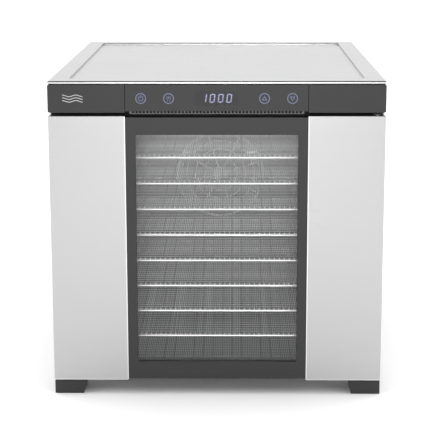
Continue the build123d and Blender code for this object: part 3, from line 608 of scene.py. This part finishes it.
power_face_height = 0.0068
control_face_depth = 0.0064
fade = 0.0002
board_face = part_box("power_board")[0].z + power_face_height
paint(board_finish("power_board_green", "Z", board_face, board_face + fade), "power_board")
board_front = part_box("control_board")[0].y + control_face_depth
paint(board_finish("control_board_green", "Y", board_front + fade, board_front), "control_board")


# Wiring: fixed leads in pale silicone sleeving, which stands the heat. They run up the back
# of the cabinet.
paint(moulding_finish("lead_sleeve", (0.55, 0.53, 0.48), 0.6, 0.2), "internal_wiring")


# Mains inlet: a black moulded housing with three plated brass pins, let into the rear
# panel. The pins are drawn over the moulding's own, a hair larger.
paint(black, "mains_inlet")
low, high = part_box("mains_inlet")
inlet_middle = Vector(((low.x + high.x) / 2, high.y, (low.z + high.z) / 2))
pin_size = (0.0022, 0.0128, 0.0042)
pin_places = ((-0.007, -0.002), (0.0, 0.002), (0.007, -0.002))
pin_setback = 0.0038
tip_reach = 0.005
tip_rounding = 0.0006
bm = bmesh.new()
for across_inlet, above in pin_places:
    pin = bmesh.ops.create_cube(bm, size=1.0)["verts"]
    bmesh.ops.scale(bm, vec=pin_size, verts=pin)
    middle = inlet_middle + Vector((across_inlet, -pin_setback - pin_size[1] / 2, above))
    bmesh.ops.translate(bm, vec=middle, verts=pin)
tip_line = inlet_middle.y - tip_reach
tips = [edge for edge in bm.edges if all(vert.co.y > tip_line for vert in edge.verts)]
bmesh.ops.bevel(bm, geom=tips, offset=tip_rounding, affect="EDGES", segments=3, profile=0.5, material=-1)
pins = mesh_from(bm, "inlet_pins", 35)
paint(steel_finish("plated_brass", even, 0.7, 0.25, Specular_IOR_Level=0.5), "inlet_pins")
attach(pins, "cabinet")


# Trays: each is a polished rim wire with rods and fine strands laid front to back and
# brighter rows welded across them. The rods and strands get a dark tone, which is painted
# shade where they show dark between the rows. Short polished stubs lie on the front rim at
# each rod's end and midway between, and the tray slides on the ledges.
def rounded_loop(half_width, half_length, radius, steps=6):
    """Points round a rectangle with round corners, about its middle."""
    points = []
    for corner in range(4):
        middle_x = (half_width - radius) * (1 if corner in (0, 3) else -1)
        middle_y = (half_length - radius) * (1 if corner in (0, 1) else -1)
        for step in range(steps + 1):
            angle = (corner + step / steps) * math.pi / 2
            points.append((middle_x + radius * math.cos(angle), middle_y + radius * math.sin(angle)))
    return points


def spread(low, high, pitch):
    """Evenly spaced places between two limits, about a pitch apart and centred."""
    count = int((high - low) / pitch)
    first = (low + high - count * pitch) / 2
    return [first + index * pitch for index in range(count + 1)]


low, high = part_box("tray_01")
middle = (low + high) / 2
half_x = (high.x - low.x) / 2
half_y = (high.y - low.y) / 2
rim_radius = (high.z - low.z) / 2
rod_radius = 0.00045
rod_pitch = 0.0127
strand_radius = 0.0004
strand_pitch = 0.0024
row_radius = 0.0004
row_pitch = 0.0098
bump_radius = 0.0008
bump_length = 0.004
rim_corner = 0.006
# Part 2 holds the rods and strands, whose dark tone is painted shade.
drawn_part = 1
painted_shade_part = 2
bm = bmesh.new()
inner_x = half_x - 2 * rim_radius
rod_level = middle.z + rim_radius - rod_radius
strand_level = rod_level - rod_radius - strand_radius
for x in spread(-inner_x, inner_x, strand_pitch):
    start = (x, low.y + rim_radius, strand_level)
    straight_wire(bm, start, (x, high.y - rim_radius, strand_level), strand_radius, 4)
for x in spread(-inner_x, inner_x, rod_pitch):
    ends = (low.y + rim_radius * 0.5, high.y - rim_radius * 0.5)
    straight_wire(bm, (x, ends[0], strand_level), (x, ends[1], strand_level), rod_radius, 6)
for face in bm.faces:
    face.material_index = painted_shade_part
for y in spread(low.y + 2 * rim_radius, high.y - 2 * rim_radius, row_pitch):
    row_level = rod_level + row_radius / 2
    straight_wire(bm, (low.x + rim_radius, y, row_level), (high.x - rim_radius, y, row_level), row_radius)
for face in bm.faces:
    face.material_index = face.material_index or drawn_part
for x in spread(-inner_x, inner_x, rod_pitch / 2):
    bump = Vector((x, low.y + rim_radius, middle.z + rim_radius + bump_radius * 0.4))
    straight_wire(bm, bump, bump + Vector((0, bump_length, 0)), bump_radius)
loop = rounded_loop(half_x - rim_radius, half_y - rim_radius, rim_corner)
bent_wire(bm, [(middle.x + x, middle.y + y, middle.z) for x, y in loop], rim_radius)
drawn_wire = steel_finish("drawn_wire", even, 0.72, 0.35)
# The rods' and strands' dark tone is painted shade.
painted_shade_wire = steel_finish("painted_shade_wire", even, 0.1, 0.4)
tray_finishes = [polished, drawn_wire, painted_shade_wire]
first_tray = mesh_from(bm, "wire_tray_01", 50)
for finish in tray_finishes:
    first_tray.data.materials.append(finish)
for name in sorted(n for n in nodes if n.startswith("tray_")):
    if name == "tray_01":
        piece = first_tray
    else:
        piece = first_tray.copy()
        piece.data = first_tray.data.copy()
        piece.name = "wire_" + name
        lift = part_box(name)[0].z - low.z
        piece.data.transform(Matrix.Translation((0, 0, lift)))
        bpy.context.scene.collection.objects.link(piece)
    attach(piece, name)
    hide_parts(name)


# Header: three dark grey ABS mouldings clipped to the front frame, the middle one being the
# control fascia. Moist air leaves through the slotted strip just under it, whose paler grey is
# painted light, lifting it out of the shade in the gap.
dark_grey = moulding_finish("dark_grey_moulding", (0.013, 0.013, 0.0131), 0.42)
paint(dark_grey, "header_left_end", "header_right_end", "control_panel")
# The strip's pale grey is painted light; it sits in the shade of the gap under the header.
paint(moulding_finish("vent_painted_light_grey", (0.3, 0.3, 0.3), 0.45), "vent_strip")


# Display and touch keys: a smoked lens flush with the fascia over lit digits, and light
# guides that glow a dim, cool blue-grey.
lens, tree, shader = new_finish("smoked_lens", Base_Color=(0.013, 0.013, 0.0132, 1), Roughness=0.42)
haze = add(tree, "TexNoise", Scale=60.0)
veil = add(tree, "MapRange", To_Min=0.88, To_Max=0.92)
place = add(tree, "TexCoord")
join(tree, place, "Object", haze, "Vector")
join(tree, haze, "Fac", veil, "Value")
join(tree, veil, "Result", shader, "Alpha")
paint(lens, "display_window")


def lit_finish(name, colour, glow, strength):
    """A translucent piece lit from behind, a little uneven like a real light guide."""
    finish, tree, shader = new_finish(name, Base_Color=colour, Roughness=0.4)
    shader.inputs["Emission Strength"].default_value = strength
    cells = add(tree, "TexNoise", Scale=700.0, Detail=1.0)
    shade = add(tree, "Mix", data_type="RGBA")
    dimmer = 0.9
    shade.inputs[first_colour].default_value = tuple(c * dimmer for c in glow[:3]) + (1,)
    shade.inputs[second_colour].default_value = glow
    place = add(tree, "TexCoord")
    join(tree, place, "Object", cells, "Vector")
    join(tree, cells, "Fac", shade, 0)
    tree.links.new(shade.outputs[mixed_colour], shader.inputs["Emission Color"])
    return finish


paint(lit_finish("lit_digit", (0.5, 0.5, 0.6, 1), (0.68, 0.68, 1.0, 1), 60.0), "display_digits")
paint(lit_finish("lit_icon", (0.05, 0.05, 0.08, 1), (0.4, 0.46, 0.8, 1), 0.33), "touch_icons")


# Airflow mark: three short wavy lines printed in light grey on the left end of the
# header, a plain picture of moving air.
header_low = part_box("header_left_end")[0]
mark_middle = Vector((-0.1765, header_low.y, 0.3815))
mark_half_width = 0.0125
line_gap = 0.0034
wave_height = 0.001
stroke_radius = 0.0006
flattening = 0.2
mark_sink = 0.00008
bm = bmesh.new()
for line in (-1, 0, 1):
    wave = []
    for step in range(25):
        along = step / 12 - 1
        up = line * line_gap + wave_height * math.sin(along * math.pi * 1.5)
        wave.append(mark_middle + Vector((along * mark_half_width, 0.0, up)))
    bent_wire(bm, wave, stroke_radius, closed=False, smoothness=1)
bmesh.ops.scale(bm, vec=(1, flattening, 1), space=Matrix.Translation(-mark_middle), verts=bm.verts)
bmesh.ops.translate(bm, vec=(0, mark_sink, 0), verts=bm.verts)
mark = mesh_from(bm, "airflow_mark")
paint(moulding_finish("printed_grey", (0.62, 0.62, 0.63), 0.5), "airflow_mark")
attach(mark, "cabinet")


# Top cover: one pressed stainless sheet with a sunk middle and a rounded lip, laid over the
# header and the sides. Its steel gets a lighter tone than the other sheets, painted light on its
# upward face. Two dark lines are painted round it: a painted reflection near its top fold, which
# also falls on the sunk middle's walls, and a painted shadow along its lower edge.
def painted_fold_shading(finish, axis, level, half_band, tone):
    """Paints a narrow band of one tone along a fold, at a height or on both sides of the middle plane;
    dark bands are painted shade and reflection, bright ones painted highlights.
    """
    tree = finish.node_tree
    shader = tree.nodes["Principled BSDF"]
    plain = shader.inputs["Base Color"].links[0].from_socket
    place = add(tree, "TexCoord")
    apart = add(tree, "SeparateXYZ")
    outward = add(tree, "Math", operation="ABSOLUTE")
    band = add(tree, "Math", operation="COMPARE")
    band.inputs[1].default_value = level
    band.inputs[2].default_value = half_band
    marked = add(tree, "Mix", data_type="RGBA")
    marked.inputs[second_colour].default_value = (tone, tone, tone, 1)
    join(tree, place, "Object", apart, "Vector")
    join(tree, apart, axis, outward, 0)
    join(tree, outward, "Value", band, 0)
    join(tree, band, "Value", marked, 0)
    tree.links.new(plain, marked.inputs[first_colour])
    tree.links.new(marked.outputs[mixed_colour], shader.inputs["Base Color"])


# The lighter tone is painted light; the two bands are a painted reflection and a painted shadow.
painted_light_cover_steel = steel_finish("painted_light_cover_steel", across, 0.625, 0.28)
cover_low, cover_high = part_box("top_cover")
painted_fold_shading(painted_light_cover_steel, "Z", level=cover_high.z - 0.0006, half_band=0.00045, tone=0.07)
painted_fold_shading(painted_light_cover_steel, "Z", level=cover_low.z + 0.0002, half_band=0.0003, tone=0.07)
paint(painted_light_cover_steel, "top_cover")


# Hinges and catch: black painted brackets and plated pins on the cabinet, black nylon bushes
# in the door, and a steel plate on the door that meets the magnet.
paint(black_paint_and_shade, "upper_hinge_bracket", "lower_hinge_bracket")
paint(zinc, "hinge_pins", "strike_plate")
paint(black, "hinge_bushes")


# Door: a dark grey moulded core with a raised border round the window, a black back cover and
# folded stainless skins on both sides, brushed across. A bright line is painted along each
# skin's inner edge and bottom fold, a painted highlight where the folds catch the light.
paint(dark_grey, "door_frame")
paint(black, "door_inner_frame")
skin_steel = steel_finish("skin_steel", across, 0.46, 0.3)
skin_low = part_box("door_right_panel")[0]
# Bright bands along the skins' inner edges and bottom folds: painted highlights.
painted_fold_shading(skin_steel, "X", level=skin_low.x + 0.0005, half_band=0.0005, tone=0.95)
painted_fold_shading(skin_steel, "Z", level=skin_low.z + 0.0006, half_band=0.0005, tone=0.8)
paint(skin_steel, "door_left_panel", "door_right_panel")
door_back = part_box("door_inner_frame")[1].y
door_spots = [((low.x + high.x) / 2, door_back, (low.z + high.z) / 2)
              for low, high in boxes_of("door_screws")]
cover_screw = cross_head_screw(head_radius=0.0033, head_height=0.0012, shank_radius=0.0018,
                               shank_length=0.006)
screw_group("door_cover_screws", door_spots, (0, 1, 0), cover_screw, "door", "door_screws")


# Door glass: one clear tempered pane held in the moulding's pocket. Shadow rays pass
# through it, so the chamber behind stays lit.
glass = bpy.data.materials.new("clear_glass")
glass.use_nodes = True
tree = glass.node_tree
pane = tree.nodes["Principled BSDF"]
pane.inputs["Base Color"].default_value = (0.985, 0.99, 0.985, 1)
pane.inputs["Transmission Weight"].default_value = 1.0
pane.inputs["IOR"].default_value = 1.45
film = add(tree, "TexNoise", Scale=14.0, Detail=4.0)
wiped = add(tree, "MapRange", To_Min=0.0, To_Max=0.02)
place = add(tree, "TexCoord")
ray = add(tree, "LightPath")
clear = add(tree, "BsdfTransparent")
pass_through = add(tree, "MixShader")
join(tree, place, "Object", film, "Vector")
join(tree, film, "Fac", wiped, "Value")
join(tree, wiped, "Result", pane, "Roughness")
join(tree, ray, "Is Shadow Ray", pass_through, 0)
join(tree, pane, 0, pass_through, 1)
join(tree, clear, 0, pass_through, 2)
join(tree, pass_through, 0, tree.nodes["Material Output"], "Surface")
paint(glass, "door_glass")


# Door seal: one extruded silicone strip with two soft bulbs, pushed on round the back of
# the door and joined at the bottom.
low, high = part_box("door_seal")
bulb = (high.y - low.y) / 2
seal_middle = (low + high) / 2
seal_corner = 0.006
bulb_fit = 0.98
bm = bmesh.new()
for inset in (bulb, 3 * bulb):
    loop = rounded_loop((high.x - low.x) / 2 - inset, (high.z - low.z) / 2 - inset, seal_corner)
    round_door = [(seal_middle.x + x, seal_middle.y, seal_middle.z + z) for x, z in loop]
    bent_wire(bm, round_door, bulb * bulb_fit, smoothness=3)
seal = mesh_from(bm, "bulb_seal", 60)
paint(moulding_finish("seal_rubber", (0.014, 0.014, 0.014), 0.62, 0.2), "bulb_seal")
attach(seal, "door")
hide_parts("door_seal")
